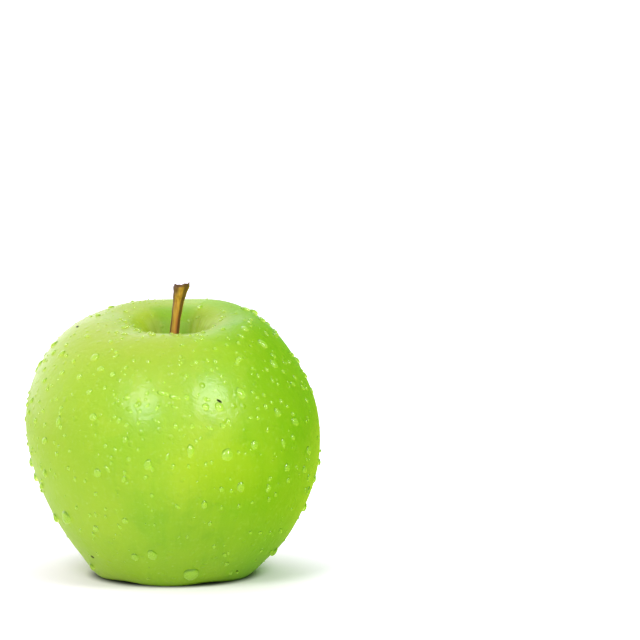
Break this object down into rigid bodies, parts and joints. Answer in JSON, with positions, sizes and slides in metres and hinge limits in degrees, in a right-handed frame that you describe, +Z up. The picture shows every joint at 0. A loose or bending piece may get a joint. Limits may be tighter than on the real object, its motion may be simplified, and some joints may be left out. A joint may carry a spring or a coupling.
{
  "type": "green apple",
  "caption": "Fresh green apple with a woody stem in its top hollow, a dried calyx in the basin below and water drops on its skin; rests on its lobed foot.",
  "frame": {"origin": "on the plane that the fruit rests on, under the middle of the object's box", "axes": "+Z up along the core from the calyx to the stem; -Y is the front, whose shoulder is the lower one; +X is the right-hand side seen from the front"},
  "size_m": [0.0761, 0.0761, 0.0757],
  "materials": {
    "skin": "waxy, softly glossy green skin with pale specks, wet with water drops",
    "stem_wood": "matte brown bark, ridged along its length, with a rough broken end",
    "dried_calyx": "dry, matte, dark brown",
    "water": "clear, wet"
  },
  "bodies": {
    "root": {"fruit": "skin", "stem": "stem_wood", "calyx": "dried_calyx"}
  },
  "joints": []
}
